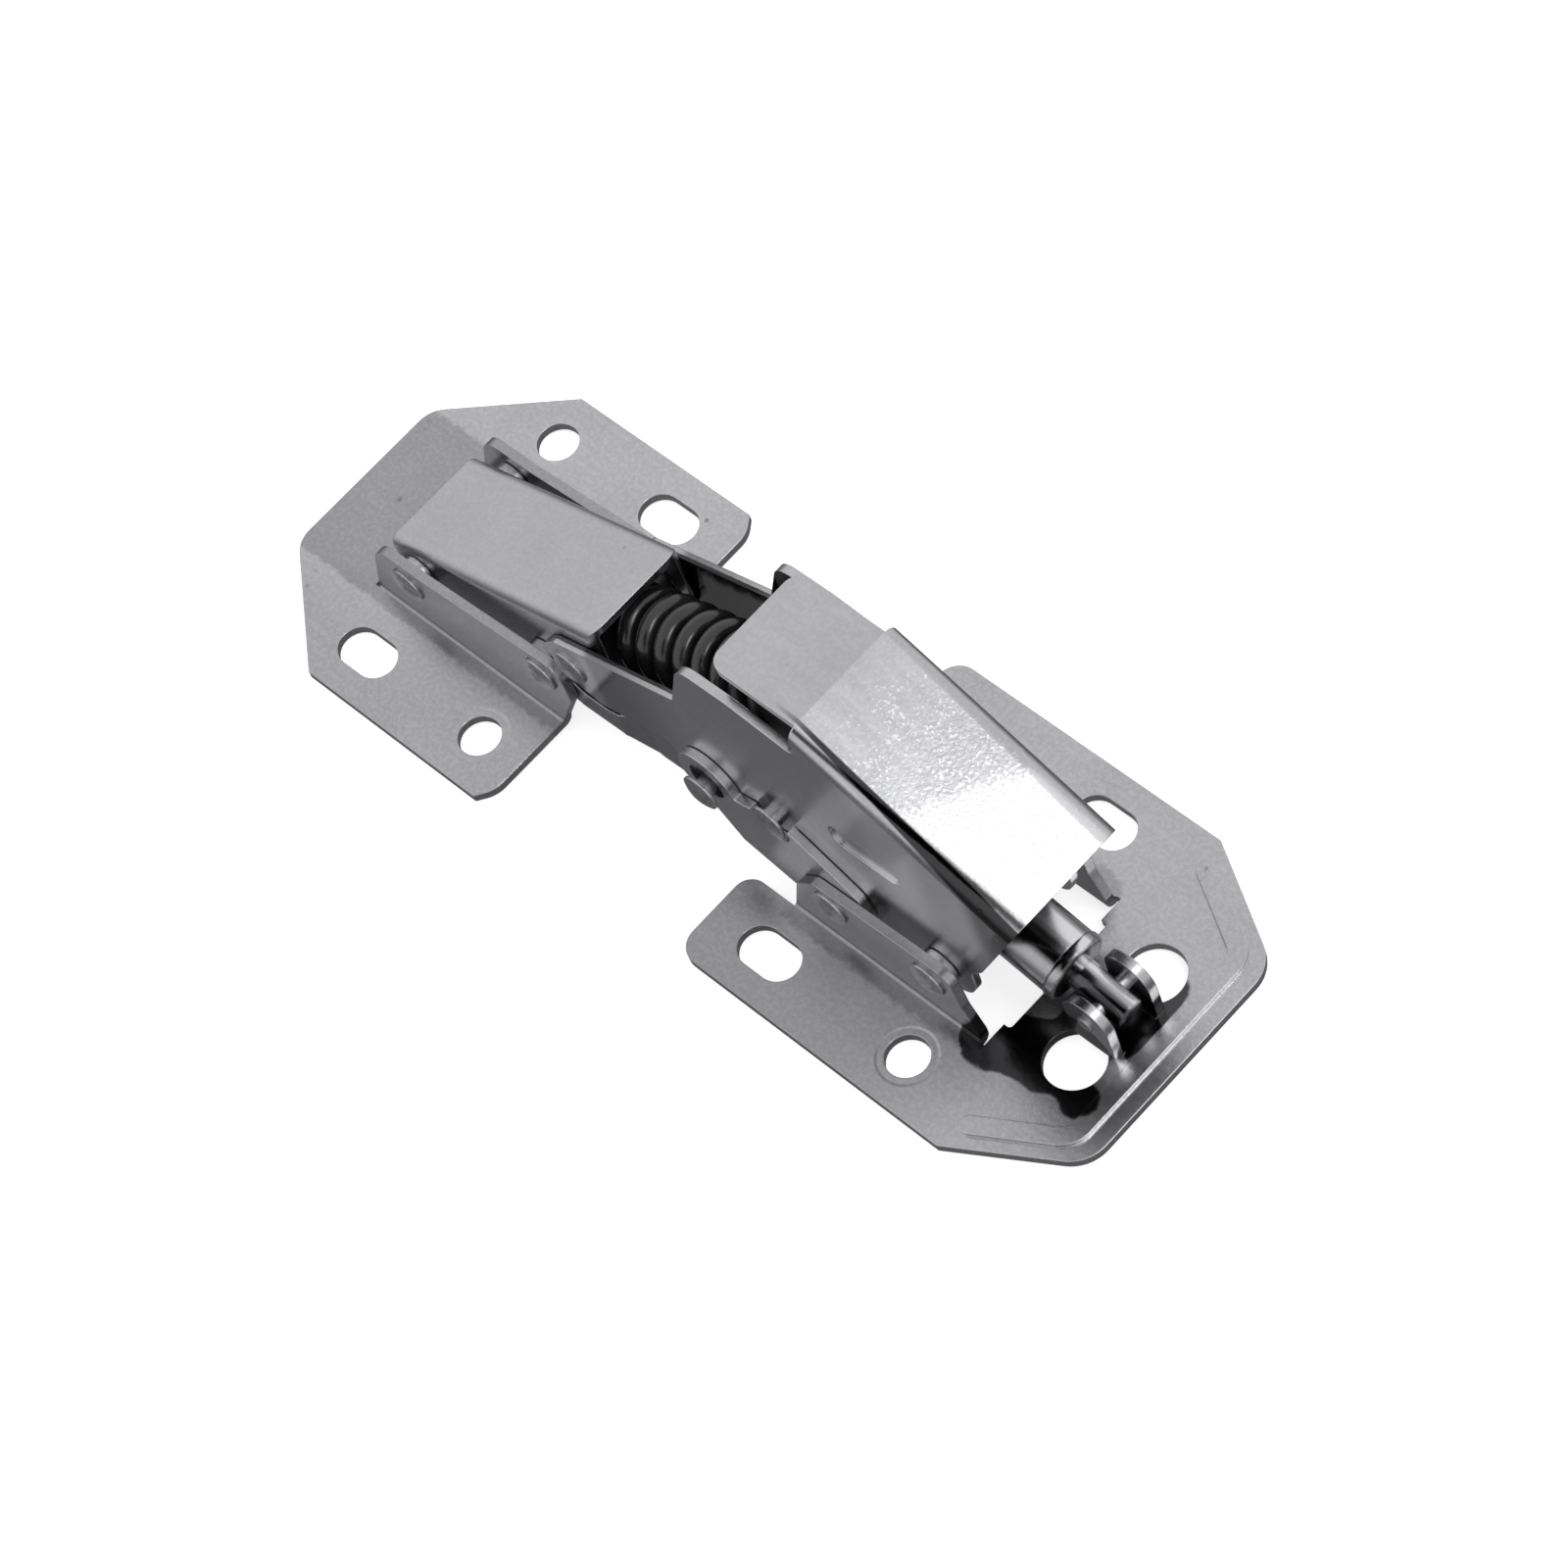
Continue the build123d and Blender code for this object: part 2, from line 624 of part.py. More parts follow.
def coil_spring():
    """Compression spring between the two seats."""
    coil_r = spring_r - wire_r
    run = spring_length - 2 * wire_r
    path = Helix(pitch=coil_pitch, height=run, radius=coil_r)
    section = Plane(origin=path @ 0, z_dir=path % 0) * RegularPolygon(wire_r, wire_flats)
    coil = sweep(section, path=path, is_frenet=True)
    begin = spring_start + wire_r
    lying = Plane(origin=spring_plane.origin + spring_plane.x_dir * begin, z_dir=spring_plane.x_dir)
    return lying * coil


def spring_seat_door():
    """Seat of the spring, carried on the link pin."""
    hub = across(disc(e_x, e_z, seat_hub_r), seat_half)
    neck = along_spring(0, spring_start, seat_hub_r)
    plate = along_spring(spring_start - seat_thick, spring_start, seat_disc_r)
    boss = along_spring(spring_start, spring_start + seat_boss_long, boss_r)
    return hub + neck + plate + boss - across(disc(e_x, e_z, pin_r), half_width)


def spring_seat_cabinet():
    """Seat of the spring, held between the walls and the web of the bridge arm."""
    fall = math.tan(math.radians(web_slope))
    up = spring_plane.y_dir
    at = spring_plane.origin + spring_plane.x_dir * spring_end
    low = at - up * spring_r
    top_z = web_z - arm_sheet - end_seat_gap
    high_x = at.X + up.X * (top_z - at.Z) / up.Z
    under_web = top_z - (low.X + end_seat_back - web_start_x) * fall
    side = rounded_outline(
        (low.X, low.Z, end_seat_round), (high_x, top_z, 0), (web_start_x, top_z, 0),
        (low.X + end_seat_back, under_web, 0), (low.X + end_seat_back, low.Z, end_seat_round))
    seat = across(side, bridge_inner - end_seat_gap - web_bend_middle / 2)
    return seat + along_spring(spring_end - seat_boss_long, spring_end, boss_r)


damper_run = math.hypot(g_x - h_x, g_z - h_z)
damper_along = Vector((g_x - h_x) / damper_run, 0, (g_z - h_z) / damper_run)
damper_plane = Plane(origin=(h_x, 0, h_z), x_dir=damper_along, z_dir=(0, 1, 0))
damper_axis = Axis((h_x, 0, h_z), damper_along)


def turned(*corners):
    """Round damper part from its half outline along and away from the damper's line."""
    outline = damper_plane * make_face(Polyline(*corners, close=True))
    return revolve(outline, axis=damper_axis)


def damper_body():
    """Tube of the damper, open at both ends."""
    return turned((tube_start, bore_r), (tube_end, bore_r), (tube_end, tube_r), (tube_start, tube_r))


def damper_cap():
    """Rolled rim and neck that close the tube, the neck on the ear pin."""
    rim_end = tube_start + tube_start - cap_start
    cap = turned(
        (-neck_back, 0), (tube_start, 0), (tube_start, cap_rim_r), (cap_start, cap_rim_r),
        (cap_start, neck_r), (-neck_back, neck_r))
    cap += turned((tube_start, 0), (rim_end, 0), (rim_end, bore_r - damper_fit),
                  (tube_start, bore_r - damper_fit))
    return cap - across(disc(h_x, h_z, ear_pin_r + turning_gap), half_width)


def damper_gland():
    """Bush in the mouth of the tube, round the rod."""
    return turned(
        (tube_end - gland_long, gland_r), (tube_end + cap_round, gland_r), (tube_end + cap_round, tube_r),
        (tube_end, tube_r), (tube_end, bore_r - damper_fit), (tube_end - gland_long, bore_r - damper_fit))


def damper_rod():
    """Thin rod from the cross pin into the piston."""
    seat = rod_tip + piston_floor
    rod_end = damper_run - (eye_r + pin_r) / 2
    rod = turned((seat, 0), (rod_end, 0), (rod_end, rod_r), (seat, rod_r))
    return rod - across(disc(g_x, g_z, eye_r), half_width)


def damper_piston():
    """Piston on the tip of the rod."""
    seat = rod_tip + piston_floor
    back = rod_tip + piston_long
    return turned((rod_tip, 0), (seat, 0), (seat, rod_r), (back, rod_r), (back, piston_r),
                  (rod_tip, piston_r))


def damper_eye():
    """Eye of the damper rod, on the cross pin."""
    return across(disc(g_x, g_z, eye_r) - disc(g_x, g_z, pin_r + turning_gap), eye_half)


def ear_pin():
    """Small pin through the two ears and the neck of the damper."""
    half = ear_inner + plate_sheet + ear_pin_out
    return across(disc(h_x, h_z, ear_pin_r), half)


tie_near = tie_link()
pieces = {
    "cabinet_plate": cabinet_plate(),
    "door_plate": door_plate(),
    "door_link": door_link(),
    "bridge_arm": bridge_arm(),
    "inner_arm": inner_arm(),
    "tie_link_near": tie_near,
    "tie_link_far": mirror(tie_near, about=Plane.XZ),
    "door_rivets": door_rivets(),
    "arm_rivets": arm_rivets(),
    "link_pin": link_pin(),
    "tie_pin": tie_pin(),
    "cross_pin": cross_pin(),
    "tie_rivets": tie_rivets(),
    "bridge_rivets": bridge_rivets(),
    "coil_spring": coil_spring(),
    "spring_seat_door": spring_seat_door(),
    "spring_seat_cabinet": spring_seat_cabinet(),
    "damper_body": damper_body(),
    "damper_cap": damper_cap(),
    "damper_gland": damper_gland(),
    "damper_rod": damper_rod(),
    "damper_piston": damper_piston(),
    "damper_eye": damper_eye(),
    "ear_pin": ear_pin(),
}

for name, piece in pieces.items():
    export_step(piece, f"parts/{name}.step")
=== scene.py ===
import math

import bpy
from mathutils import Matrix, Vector


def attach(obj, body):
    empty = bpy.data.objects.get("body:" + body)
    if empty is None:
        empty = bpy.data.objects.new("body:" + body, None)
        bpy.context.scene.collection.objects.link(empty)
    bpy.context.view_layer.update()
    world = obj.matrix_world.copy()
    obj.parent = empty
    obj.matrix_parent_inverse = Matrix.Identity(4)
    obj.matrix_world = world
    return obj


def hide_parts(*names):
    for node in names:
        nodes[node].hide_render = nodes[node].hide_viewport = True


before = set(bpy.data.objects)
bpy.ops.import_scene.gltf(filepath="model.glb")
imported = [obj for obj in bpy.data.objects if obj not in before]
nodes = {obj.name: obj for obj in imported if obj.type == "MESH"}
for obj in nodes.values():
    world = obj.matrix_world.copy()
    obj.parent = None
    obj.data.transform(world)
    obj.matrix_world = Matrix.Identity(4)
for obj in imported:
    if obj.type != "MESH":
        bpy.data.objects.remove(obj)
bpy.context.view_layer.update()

# Studio: the hinge lies on a plain white floor and is seen from above its near right side.
# A broad soft lamp hangs beyond its cabinet end, where the web of the bridge arm mirrors it. The
# air is bright above and dim below, with one dark screen high on the near side.
camera_place = (0.30561, -0.14701, 0.51040)
camera_turn = (30.9275, 12.8098, 43.6586)
camera_data = bpy.data.cameras.new("camera")
camera_data.sensor_width = 36.0
camera_data.lens = 123.472
camera = bpy.data.objects.new("camera", camera_data)
camera.location = camera_place
camera.rotation_euler = [math.radians(a) for a in camera_turn]
bpy.context.scene.collection.objects.link(camera)
bpy.context.scene.camera = camera
bpy.context.scene.view_settings.view_transform = "Standard"


class Wire:
    """A socket in a node tree, which can be added, taken away and multiplied."""

    def __init__(self, tree, socket):
        self.tree = tree
        self.socket = socket

    def add(self, kind, settings=None, inputs=None, output=0):
        """Adds a node of a kind: its settings first, then the values or links of its sockets."""
        node = self.tree.nodes.new(kind)
        for name, value in (settings or {}).items():
            setattr(node, name, value)
        for name, value in (inputs or {}).items():
            if isinstance(value, Wire):
                self.tree.links.new(value.socket, node.inputs[name])
            else:
                node.inputs[name].default_value = value
        return Wire(self.tree, node.outputs[output])

    def sum_of(self, operation, first, second):
        return self.add("ShaderNodeMath", {"operation": operation}, {0: first, 1: second})

    def __add__(self, other):
        return self.sum_of("ADD", self, other)

    def __radd__(self, other):
        return self.sum_of("ADD", other, self)

    def __sub__(self, other):
        return self.sum_of("SUBTRACT", self, other)

    def __rsub__(self, other):
        return self.sum_of("SUBTRACT", other, self)

    def __mul__(self, other):
        return self.sum_of("MULTIPLY", self, other)

    def __rmul__(self, other):
        return self.sum_of("MULTIPLY", other, self)

    def size(self):
        return self.add("ShaderNodeMath", {"operation": "ABSOLUTE"}, {0: self})

    def axis(self, index):
        """One of the three parts of a place or way."""
        return self.add("ShaderNodeSeparateXYZ", None, {0: self}, output=index)

    def along(self, way):
        """How far this way points along another one."""
        return self.add("ShaderNodeVectorMath", {"operation": "DOT_PRODUCT"},
                        {0: self, 1: way}, output=1)

    def noise(self, scale, detail, rough=0.5):
        return self.add("ShaderNodeTexNoise", None,
                        {"Vector": self, "Scale": scale, "Detail": detail, "Roughness": rough})

    def clear(self, low, high):
        """0 below low, 1 above high, and smooth between them."""
        return self.add("ShaderNodeMapRange", {"interpolation_type": "SMOOTHSTEP"},
                        {"Value": self, "From Min": low, "From Max": high})

    def held(self, low, high):
        """This value, kept between low and high."""
        return self.add("ShaderNodeClamp", None, {"Value": self, "Min": low, "Max": high})

    def blend(self, first, second):
        """A colour that goes from first to second as this goes from 0 to 1."""
        return self.add("ShaderNodeMix", {"data_type": "RGBA"},
                        {0: self, 6: first, 7: second}, output=2)


white_seen = (1, 1, 1, 1)
air_below = (0.15, 0.15, 0.155, 1)
air_above = (0.72, 0.72, 0.73, 1)
screen_black = (0.008, 0.008, 0.008, 1)
screen_way = (0.25, -0.49, 0.835)
world = bpy.data.worlds.new("studio_air")
bpy.context.scene.world = world
world.use_nodes = True
world.node_tree.nodes.clear()
air = Wire(world.node_tree, None)
ways = air.add("ShaderNodeTexCoord")
sky = ways.axis(2).clear(-0.35, 0.25).blend(air_below, air_above)
screened = ways.along(screen_way).clear(0.945, 0.975).blend(sky, screen_black)
seen = air.add("ShaderNodeLightPath").blend(screened, white_seen)
light = air.add("ShaderNodeBackground", None, {"Color": seen, "Strength": 1.0})
world_output = world.node_tree.nodes.new("ShaderNodeOutputWorld")
world.node_tree.links.new(light.socket, world_output.inputs["Surface"])

lamp_place = (0.395, 0.103, 0.60)
lamp_aim = Vector((0.02, 0.0, 0.02))
lamp_data = bpy.data.lights.new("soft_lamp", "AREA")
lamp_data.shape = "DISK"
lamp_data.size = 0.26
lamp_data.energy = 0.55
lamp = bpy.data.objects.new("soft_lamp", lamp_data)
lamp.location = lamp_place
lamp.rotation_euler = (lamp_aim - lamp.location).to_track_quat("-Z", "Y").to_euler()
bpy.context.scene.collection.objects.link(lamp)

floor_height = -0.0006
floor_width = 6.0
floor_tone = (0.92, 0.92, 0.92, 1)
floor_glow = 0.75
bpy.ops.object.select_all(action="DESELECT")
bpy.ops.mesh.primitive_plane_add(size=floor_width, location=(0, 0, floor_height))
floor = bpy.context.object
floor.name = "floor"
floor.visible_glossy = False
floor_finish = bpy.data.materials.new("white_floor")
floor_finish.use_nodes = True
floor_tree = floor_finish.node_tree
floor_shader = floor_tree.nodes["Principled BSDF"]
floor_shader.inputs["Base Color"].default_value = floor_tone
floor_shader.inputs["Roughness"].default_value = 0.9
paper = Wire(floor_tree, floor_shader.outputs[0])
watched = paper.add("ShaderNodeLightPath")
glow = paper.add("ShaderNodeEmission", None, {"Color": white_seen, "Strength": watched * floor_glow})
floor_seen = paper.add("ShaderNodeAddShader", None, {0: paper, 1: glow})
floor_tree.links.new(floor_seen.socket, floor_tree.nodes["Material Output"].inputs["Surface"])
floor.data.materials.append(floor_finish)

# The two screw plates: pressed steel sheet, nickel plated. Their faces are satin with faint
# clouds, fine specks and rub marks; the grain has opened along the bends; the sheared edges
# are part bright, part torn and grey. The near side of each plate is painted darker as painted
# shade, the cabinet plate is painted near black round the ears as painted shade, and the
# stamped rings round the screw holes carry a faint painted highlight.
edge_bright = (0.93, 0.93, 0.94, 1)
# Mark colours: white for painted highlights, black for painted shade and for opened grain.
painted_highlight_white = (0.96, 0.96, 0.97, 1)
grain_and_shade_black = (0.045, 0.045, 0.047, 1)
speck_share = 0.35
tone_low = 0.70
tone_high = 1.30
edge_radius = 0.00022
bump_height = 0.0002
object_place = 3
true_face = 1


def grey(tone, share, blue_share=None):
    """A tone times a share, as a colour; its blue may have a share of its own."""
    red, green, blue = tone
    return red * share, green * share, blue * (blue_share or share), 1


def plated_sheet(name, tone, rough, grain, marks=None):
    """Nickel-plated sheet: tone is its grey, rough its gloss, grain how open its surface is.

    marks takes the place on the object and gives what is special to a piece: how far its
    tone is painted towards black, as painted shade and as the grey of opened grain, how far
    it is painted towards white as a painted highlight, and how high it stands."""
    material = bpy.data.materials.new(name)
    material.use_nodes = True
    tree = material.node_tree
    shader = tree.nodes["Principled BSDF"]
    start = Wire(tree, None)
    place = start.add("ShaderNodeTexCoord", output=object_place)
    clouds = place.noise(75.0, 4.0, 0.6)
    fine = place.noise(1700.0, 3.0, 0.7)
    drawn = start.add("ShaderNodeMapping", None,
                      {"Vector": place, "Rotation": (0, 0, 0.5), "Scale": (60.0, 900.0, 60.0)})
    rubs = drawn.noise(1.0, 5.0, 0.65)
    pits = start.add("ShaderNodeTexVoronoi", None, {"Vector": place, "Scale": 420.0, "Randomness": 1.0})
    chance = place.noise(160.0, 2.0)
    specks = (1.0 - pits.clear(0.10, 0.20)) * chance.clear(0.62, 0.72)
    face = start.add("ShaderNodeNewGeometry", output=true_face)
    rounded = start.add("ShaderNodeBevel", {"samples": 4}, {"Radius": edge_radius})
    edges = (1.0 - face.along(rounded)).clear(0.004, 0.10)
    black, white, relief = marks(place) if marks else (0.0, 0.0, 0.0)
    grain_seen = grain * (fine.clear(0.42, 0.62) - 0.5)
    shade = (clouds - 0.5) * 0.30 + (rubs - 0.5) * 0.16 + grain_seen * 0.40
    pale = tuple(min(1.0, t) for t in grey(tone, tone_high))
    body = (shade + 0.5).clear(0.0, 1.0).blend(grey(tone, tone_low), pale)
    body = (specks * 0.6).blend(body, grey(tone, speck_share, 0.36))
    body = (edges * 0.75).blend(body, edge_bright)
    if marks:
        # The marks' painted highlights, then their painted shade and the grey of opened grain.
        body = white.blend(body, painted_highlight_white)
        body = black.blend(body, grain_and_shade_black)
    tree.links.new(body.socket, shader.inputs["Base Color"])
    gloss = rough + (clouds - 0.5) * 0.10 + (rubs - 0.5) * 0.08 + specks * 0.2 - edges * 0.06
    gloss = (gloss - black * 0.12).held(0.05, 1.0)
    tree.links.new(gloss.socket, shader.inputs["Roughness"])
    shader.inputs["Metallic"].default_value = 1.0
    height = fine * (0.4 * grain + 0.1) + clouds * 0.8 - specks * 0.6 + rubs * 0.15 + relief
    bump = start.add(
        "ShaderNodeBump", None,
        {"Strength": 0.22, "Distance": bump_height, "Height": height, "Normal": rounded})
    tree.links.new(bump.socket, shader.inputs["Normal"])
    return material


def spot(place, centre, inner, outer):
    """1 within the inner distance from a point, 0 beyond the outer one, all in metres."""
    away = place.add("ShaderNodeVectorMath", {"operation": "DISTANCE"}, {0: place, 1: centre}, output=1)
    return 1.0 - away.clear(inner, outer)


def spots(place, rows):
    """The sum of the spots in rows of centre, inner and outer distance."""
    masks = [spot(place, *row) for row in rows]
    return sum(masks[1:], masks[0])


def strip(across, middle, inner, outer):
    """1 within the inner distance from a middle line, 0 beyond the outer one."""
    return 1.0 - (across - middle).size().clear(inner, outer)


def blotched(mask, place, scale=450.0):
    """A mask whose soft border breaks up into blotches."""
    patches = place.noise(scale, 4.0)
    return (mask + (patches - 0.5) * 0.9).clear(0.35, 0.75)


sheet_top = 0.0012
ring_inner = 0.0034
ring_outer = 0.0038
ring_depth = 1.2
# The stamped rings are painted a little lighter, as a painted highlight.
ring_highlight = 0.05
foot_black = 0.30
foot_blotches = 900.0


def countersinks(place, holes):
    """Shallow rings stamped round the screw holes."""
    return spots(place, [((x, y, sheet_top), ring_inner, ring_outer) for x, y in holes])


def dress(material, *names):
    """Gives CAD nodes their finish."""
    for name in names:
        slots = nodes[name].data.materials
        slots.clear()
        slots.append(material)


cabinet_holes = ((0.04106, -0.01746), (0.01834, 0.01746))
door_holes = ((-0.02800, -0.01733), (-0.04936, 0.01733))
# Spots of painted shade on the cabinet plate round the ears: centre, inner and outer distance.
ear_shade_spots = (
    ((0.0475, -0.0098, 0.0012), 0.0022, 0.0062),
    ((0.0535, -0.0080, 0.0020), 0.0030, 0.0062),
    ((0.0600, -0.0100, 0.0012), 0.0006, 0.0042),
    ((0.0580, 0.0050, 0.0020), 0.0020, 0.0052),
    ((0.0560, 0.0000, 0.0010), 0.0040, 0.0070))


def cabinet_marks(place):
    """Stamped rings with a faint painted highlight, the grey feet of the flanges, painted shade
    round the ears, and painted shade on the near side.
    """
    along = place.axis(0)
    across = place.axis(1)
    rings = countersinks(place, cabinet_holes)
    feet = 1.0 - across.size().clear(0.0118, 0.0150)
    feet = feet * along.clear(0.014, 0.020) * (1.0 - along.clear(0.044, 0.049))
    # The sheet round the ears is painted near black, as painted shade.
    drawn = spots(place, ear_shade_spots).clear(0.1, 0.9)
    # The near side is painted darker, as painted shade.
    near_shade = (0.0 - across).clear(0.009, 0.016) * (1.0 - along.clear(0.034, 0.056)) * 0.34
    black = blotched(drawn, place) * 0.92 + blotched(feet, place, foot_blotches) * foot_black + near_shade
    return black, rings * ring_highlight, 0.0 - rings * ring_depth


def door_marks(place):
    """Stamped rings with a faint painted highlight, the grey feet of the flanges, and painted shade on
    the near side.
    """
    across = place.axis(1)
    rings = countersinks(place, door_holes)
    feet = 1.0 - across.size().clear(0.0105, 0.0132)
    # The near side is painted darker, as painted shade.
    near_shade = (0.0 - across).clear(0.006, 0.018) * 0.16
    black = blotched(feet, place, foot_blotches) * foot_black + near_shade
    return black, rings * ring_highlight, 0.0 - rings * ring_depth


dress(plated_sheet("plated_cabinet", (0.60, 0.60, 0.61), 0.27, 0.35, cabinet_marks), "cabinet_plate")
dress(plated_sheet("plated_door", (0.62, 0.62, 0.63), 0.29, 0.35, door_marks), "door_plate")

# The folded arms: thinner sheet, plated with the plates. The bridge arm's web was pulled over
# its bends: it is flecked where it starts to fall and almost a mirror at its end. The flecks are
# painted white as painted glints, and the lamp's reflection on the web's end is painted white.
# Where the painted dark reflection and the painted highlight run along the near bend.
bend_start = 0.0356
bend_way = 0.00700
bend_slope = 0.055
bend_highlight_way = 0.00100
# A spot of painted shade in the dimple: centre, inner and outer distance.
dimple_row = ((0.0305, -0.0085, 0.0245), 0.0008, 0.0034)


def bridge_marks(place):
    """Flecks on the web painted white as painted glints, and a painted reflection of the lamp on
    its end; a painted dark reflection along its near bend with a painted highlight below it;
    painted shade inside the arm, in the dimple and on part of the walls."""
    along = place.axis(0)
    across = place.axis(1)
    out = across.size()
    web = 1.0 - out.clear(0.0064, 0.0072)
    flecks = place.noise(2300.0, 3.0)
    groups = place.noise(260.0, 3.0)
    spread = flecks * 0.7 + groups * 0.3
    # Flecks of the grain painted white, as painted glints.
    fleck_glints = spread.clear(0.575, 0.63) * along.clear(0.026, 0.034) * web * 0.8
    # The web's end is painted white, as a painted reflection of the lamp.
    slanted = (along - across * 0.45).clear(0.0395, 0.0465)
    web_reflection = blotched(slanted, place, 1900.0) * web * 0.85
    wall = out.clear(0.0073, 0.0076)
    # Part of the walls is painted darker, as painted shade.
    wall_shade = along.clear(-0.0125, -0.0105) * (1.0 - along.clear(-0.009, 0.007)) * wall
    # The dimple is painted darker, as painted shade.
    dimple = spot(place, *dimple_row)
    # A painted dark reflection along the near bend, and a painted highlight a little below it.
    fall = (0.0 - across) - (along - bend_start) * bend_slope - bend_way
    width = along.clear(0.020, 0.054) * 0.00055 + 0.00010
    line = (1.0 - (fall.size() - width).clear(0.0, 0.00022)) * along.clear(0.022, 0.030)
    bend_highlight = 1.0 - ((fall - bend_highlight_way - width).size() - 0.00012).clear(0.0, 0.0004)
    bend_highlight = bend_highlight * along.clear(0.030, 0.038)
    # The inside of the arm is painted near black, as painted shade.
    inside = (1.0 - out.clear(0.0078, 0.0080)) * (1.0 - along.clear(0.0075, 0.0085))
    black = wall_shade * 0.62 + dimple * 0.45 + line * 0.95 + blotched(inside, place, 700.0) * 0.85
    relief = spread * 0.7 * web * along.clear(0.028, 0.040)
    return black, fleck_glints + web_reflection + bend_highlight * 0.7, relief


dress(plated_sheet("plated_bridge", (0.62, 0.62, 0.63), 0.22, 0.20, bridge_marks), "bridge_arm")
dress(plated_sheet("plated_arms", (0.62, 0.62, 0.63), 0.27, 0.20), "door_link", "tie_link_near",
      "tie_link_far")
# The inner arm's plating is painted darker than the other arms', as painted shade.
dress(plated_sheet("shaded_arm", (0.42, 0.42, 0.43), 0.30, 0.30), "inner_arm")

# Rivets and pins: soft steel, headed cold, so their domes are hammered and a little darker.
rivet_finish = plated_sheet("rivet_steel", (0.55, 0.55, 0.56), 0.32, 0.8)
dress(rivet_finish, "door_rivets", "arm_rivets", "link_pin", "tie_pin", "cross_pin",
      "tie_rivets", "bridge_rivets", "ear_pin")

# The spring: hard wire, blacked and oiled, so it is glossy with streaks where coils rubbed.
# It is wound smooth in place of the CAD spring, whose wire has eight sides.
oil_bump = 0.0001
oil_rough = 0.12


def black_finish(name, tone, rough, oil):
    """Black surface with a patchy film of oil or grease."""
    material = bpy.data.materials.new(name)
    material.use_nodes = True
    tree = material.node_tree
    shader = tree.nodes["Principled BSDF"]
    start = Wire(tree, None)
    place = start.add("ShaderNodeTexCoord", output=object_place)
    film = place.noise(260.0, 4.0, 0.6)
    fine = place.noise(2200.0, 2.0, 0.6)
    bare = (tone, tone, tone, 1)
    filmed = (tone * 2.6, tone * 2.5, tone * 2.4, 1)
    body = film.clear(0.35, 0.75).blend(bare, filmed)
    tree.links.new(body.socket, shader.inputs["Base Color"])
    gloss = (rough + (film - 0.5) * 0.35 + (fine - 0.5) * 0.08).held(0.06, 1.0)
    tree.links.new(gloss.socket, shader.inputs["Roughness"])
    shader.inputs["Coat Weight"].default_value = oil
    shader.inputs["Coat Roughness"].default_value = oil_rough
    bump = start.add("ShaderNodeBump", None,
                     {"Strength": 0.25, "Distance": oil_bump, "Height": film * 0.7 + fine * 0.3})
    tree.links.new(bump.socket, shader.inputs["Normal"])
    return material


wire_r = 0.00125
wire_sides = 20
coil_r = 0.0055 - wire_r
coil_pitch = 0.00375
coil_run = 0.0375 - 2 * wire_r
coils = coil_run / coil_pitch
steps_a_coil = 44
spring_start = 0.0042
spring_slope = math.radians(23.85)
spring_foot = Vector((-0.01596, 0.0, 0.01630 - 0.00074))
spring_way = Vector((math.cos(spring_slope), 0.0, math.sin(spring_slope)))
quarter_turn = math.radians(90)
bpy.ops.object.select_all(action="DESELECT")
bpy.ops.mesh.primitive_circle_add(vertices=wire_sides, radius=wire_r, location=(coil_r, 0, 0),
                                  rotation=(quarter_turn, 0, 0))
spring = bpy.context.object
spring.name = "wound_spring"
bpy.ops.object.transform_apply(location=True, rotation=True, scale=True)
winding = spring.modifiers.new("winding", "SCREW")
winding.axis = "Z"
winding.angle = math.radians(360) * coils
winding.screw_offset = coil_run
winding.steps = round(steps_a_coil * coils)
winding.render_steps = winding.steps
bpy.ops.object.modifier_apply(modifier="winding")
bpy.ops.object.mode_set(mode="EDIT")
bpy.ops.mesh.select_all(action="SELECT")
bpy.ops.mesh.fill_holes(sides=0)
bpy.ops.mesh.select_all(action="SELECT")
bpy.ops.mesh.normals_make_consistent(inside=False)
bpy.ops.object.mode_set(mode="OBJECT")
bpy.ops.object.shade_smooth_by_angle(angle=math.radians(50))
spring.rotation_euler = (0, quarter_turn - spring_slope, 0)
spring.location = spring_foot + spring_way * (spring_start + wire_r)
bpy.ops.object.transform_apply(location=True, rotation=True, scale=True)
spring.data.materials.append(black_finish("blacked_wire", 0.012, 0.26, 0.7))
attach(spring, "bridge")
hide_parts("coil_spring")

# The moulded parts in black plastic, greased: the seats at both ends of the spring, and the
# eye, piston and gland of the damper.
seat_finish = black_finish("greased_seat", 0.010, 0.42, 0.35)
dress(seat_finish, "spring_seat_door", "spring_seat_cabinet", "damper_eye", "damper_piston",
      "damper_gland")

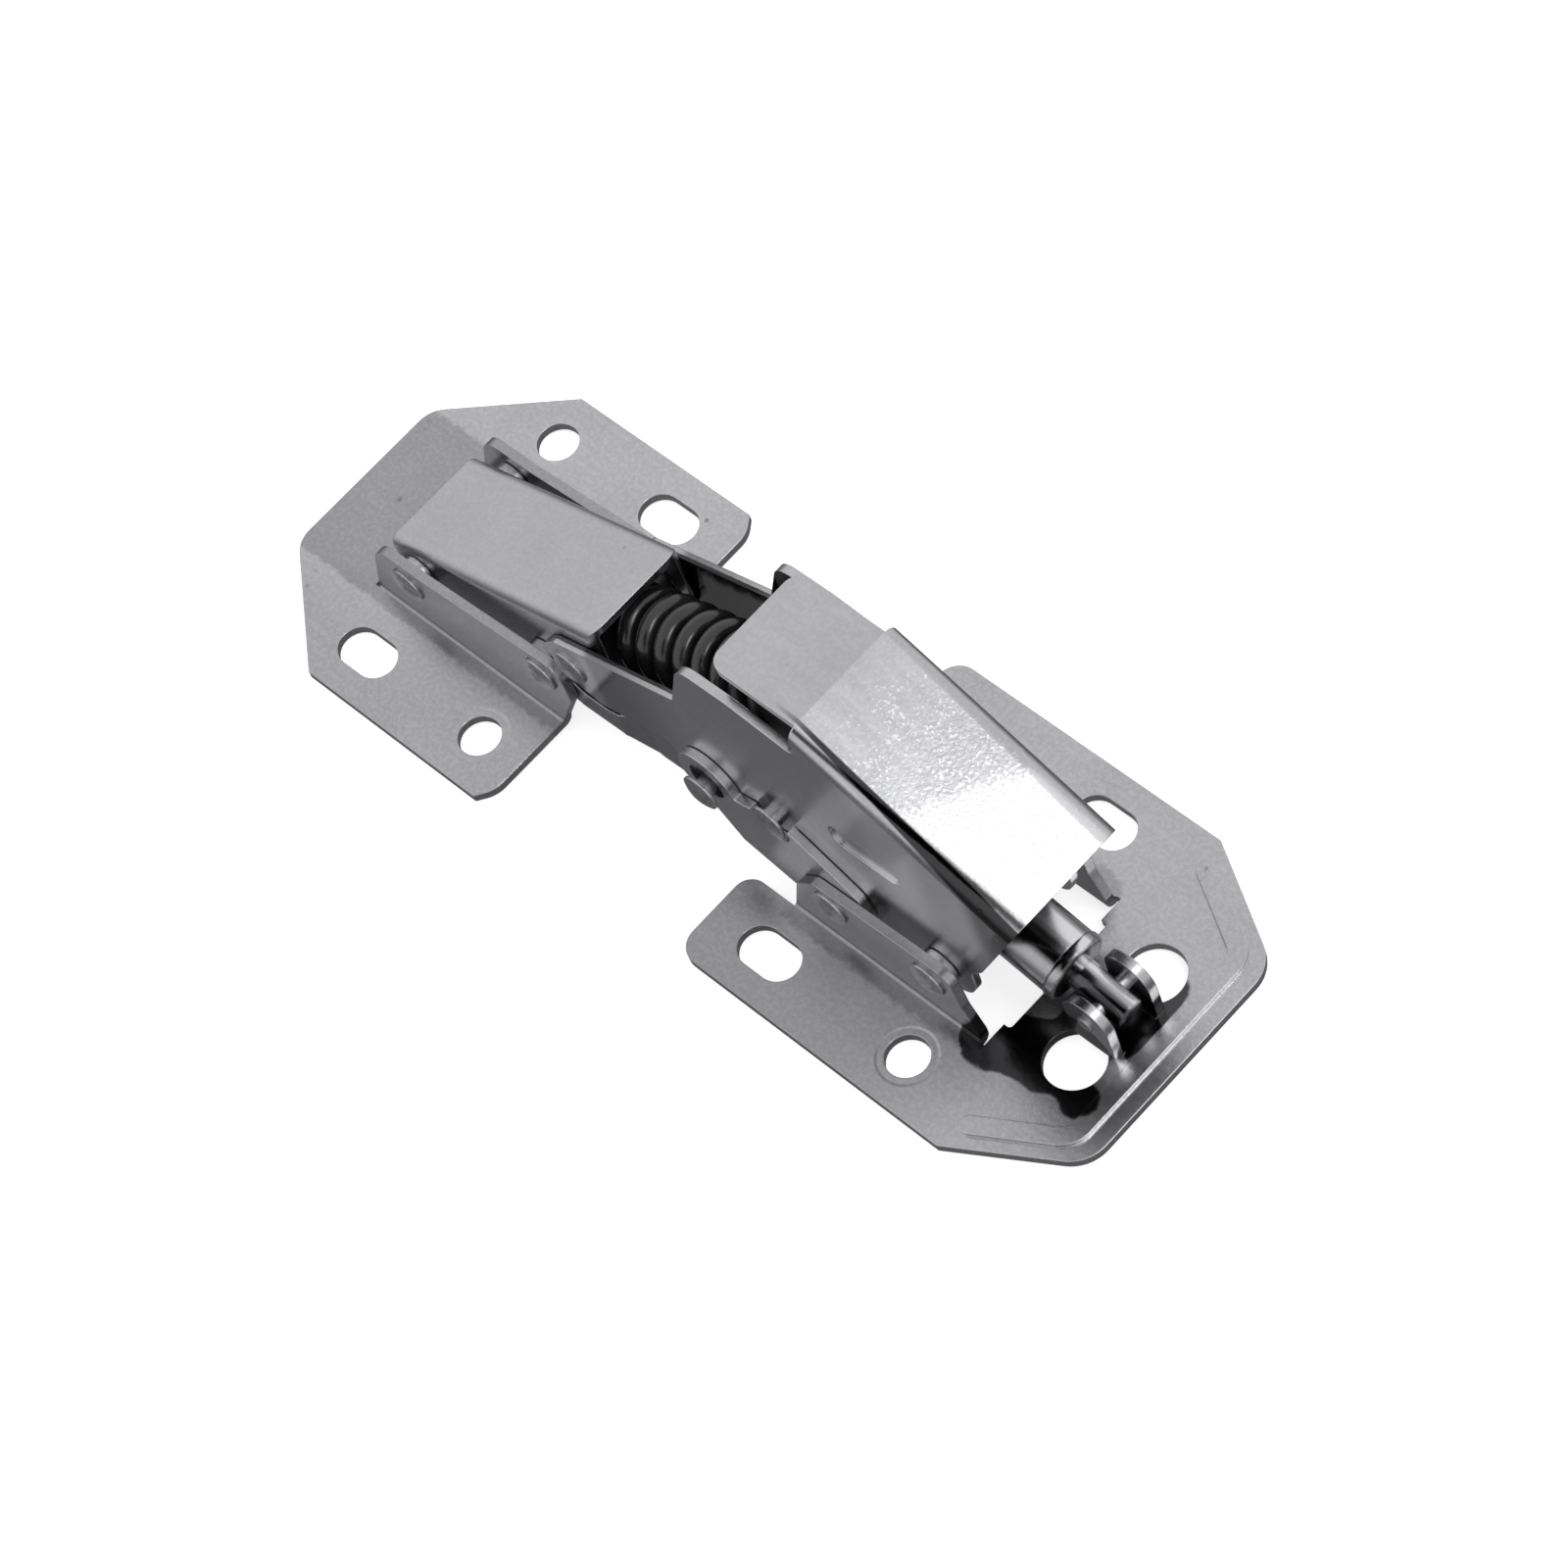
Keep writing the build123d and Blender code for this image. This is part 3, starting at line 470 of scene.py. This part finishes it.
# The damper: a drawn tube with a rolled rim and neck, plated, with dark reflections and a
# bright one painted along its length, and its rod. Tube, rim and neck are turned smooth in
# place of the CAD ones.
# Strips of painted reflection along the tube: middle, inner and outer distance across it.
near_reflection_dark = (-0.0012, 0.0008, 0.0016)
far_reflection_dark = (0.0037, 0.0002, 0.0006)
highlight_strip = (0.0015, 0.0007, 0.0012)


def tube_marks(place):
    """Painted dark reflections along the tube, and a painted highlight between them."""
    across = place.axis(1)
    black = strip(across, *near_reflection_dark) * 0.85 + strip(across, *far_reflection_dark) * 0.6
    return black, strip(across, *highlight_strip) * 0.9, 0.0


damper_finish = plated_sheet("bright_tube", (0.56, 0.56, 0.57), 0.24, 0.10, tube_marks)
dress(damper_finish, "damper_rod")
pin_place = Vector((0.05674, 0.0, 0.00640))
tube_way = Vector((0.01714, 0.0, 0.01714)) - pin_place
tube_way.normalize()
tube_turn = tube_way.to_track_quat("Z", "Y").to_euler()
tube_sides = 96
rounding_steps = 4
tube_sizes = (0.0042, 0.0060, 0.0283, 0.0002)
rim_sizes = (0.00435, 0.0046, 0.0062, 0.0005)
neck_sizes = (0.0019, -0.0030, 0.0050, 0.0003)


def turned_piece(name, radius, start, end, edge):
    """Smooth round piece on the damper's axis, from start to end away from the ear pin."""
    bpy.ops.object.select_all(action="DESELECT")
    bpy.ops.mesh.primitive_cylinder_add(vertices=tube_sides, radius=radius, depth=end - start)
    piece = bpy.context.object
    piece.name = name
    piece.rotation_euler = tube_turn
    piece.location = pin_place + tube_way * (start + end) * 0.5
    bpy.ops.object.transform_apply(location=True, rotation=True, scale=True)
    rounding = piece.modifiers.new("rounding", "BEVEL")
    rounding.width = edge
    rounding.segments = rounding_steps
    bpy.ops.object.modifier_apply(modifier="rounding")
    bpy.ops.object.shade_smooth_by_angle(angle=math.radians(35))
    piece.data.materials.append(damper_finish)
    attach(piece, "damper_tube")
    return piece


drawn_tube = turned_piece("drawn_tube", *tube_sizes)
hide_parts("damper_body")
rolled_rim = turned_piece("rolled_rim", *rim_sizes)
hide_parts("damper_cap")
turned_piece("tube_neck", *neck_sizes)
